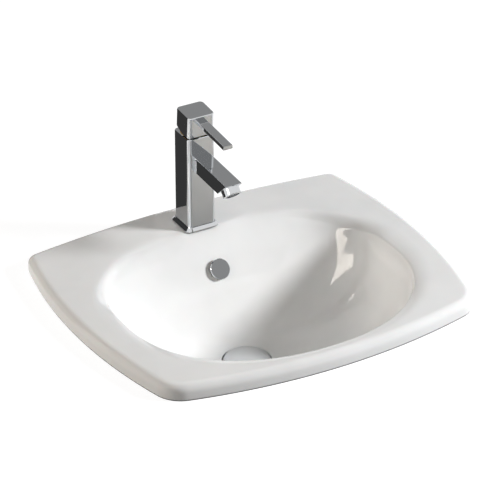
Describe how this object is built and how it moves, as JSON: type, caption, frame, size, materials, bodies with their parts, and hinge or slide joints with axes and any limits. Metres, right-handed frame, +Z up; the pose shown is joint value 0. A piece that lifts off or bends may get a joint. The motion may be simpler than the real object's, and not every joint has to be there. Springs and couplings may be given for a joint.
{
  "type": "inset basin",
  "caption": "White china basin that drops into a worktop, with an oval bowl, a covered overflow, a push-to-open waste and a square single-lever tap.",
  "frame": {"origin": "on the waste's axis, in the plane where the rim sits on the worktop", "axes": "+X to the user's right along the basin's length, +Y to the wall, +Z up"},
  "size_m": [0.52, 0.4414, 0.4048],
  "materials": {
    "china": "glossy white glaze",
    "chrome": "polished",
    "brass": "machined",
    "steel": "plain",
    "cast_steel": "plain",
    "rubber": "matt",
    "white_plastic": "matt",
    "grey_plastic": "matt",
    "dark_plastic": "matt",
    "disc_ceramic": "lapped"
  },
  "bodies": {
    "fixed": {"aerator_housing": "chrome", "aerator_insert": "grey_plastic", "aerator_washer": "rubber", "base_plate": "chrome", "base_seal": "rubber", "basin": "china", "cartridge_base": "dark_plastic", "cartridge_gasket": "rubber", "cartridge_housing": "dark_plastic", "cartridge_nut": "brass", "fixed_disc": "disc_ceramic", "fixing_nut": "brass", "fixing_stud": "steel", "fixing_washer_rubber": "rubber", "fixing_washer_steel": "steel", "inlet_block": "brass", "inlet_seal": "rubber", "latch_body": "dark_plastic", "overflow_cap": "chrome", "overflow_sleeve": "white_plastic", "plug_spring": "steel", "tap_body": "chrome", "waste_backnut": "brass", "waste_body": "chrome", "waste_bottom_seal": "rubber", "waste_top_seal": "rubber", "waste_washer": "steel"},
    "swivel": {"spindle_carrier": "brass", "pivot_pin": "steel"},
    "handle": {"lever_stem": "cast_steel", "handle_head": "chrome", "handle_lever": "chrome", "handle_screw": "steel", "screw_cover": "grey_plastic"},
    "disc": {"moving_disc": "disc_ceramic", "disc_driver": "dark_plastic"},
    "plug": {"plug_cap": "chrome", "plug_seal": "rubber", "plug_spindle": "brass"}
  },
  "joints": [
    {"name": "handle_turn", "type": "hinge", "parent": "fixed", "child": "swivel", "pos_m": [0, 0.144, 0.1525], "axis": [0, 0, 1], "range_deg": [-45, 45]},
    {"name": "handle_lift", "type": "hinge", "parent": "swivel", "child": "handle", "pos_m": [0, 0.144, 0.1525], "axis": [-1, 0, 0], "range_deg": [0, 20]},
    {"name": "disc_slide", "type": "slide", "parent": "swivel", "child": "disc", "axis": [0, -1, 0], "range_m": [0, 0.0033]},
    {"name": "plug_rise", "type": "slide", "parent": "fixed", "child": "plug", "axis": [0, 0, 1], "range_m": [0, 0.009], "deforming": ["plug_spring"]}
  ],
  "couplings": [
    {"joint": "disc_slide", "follows": "handle_lift", "m_per_rad": 0.0094}
  ]
}
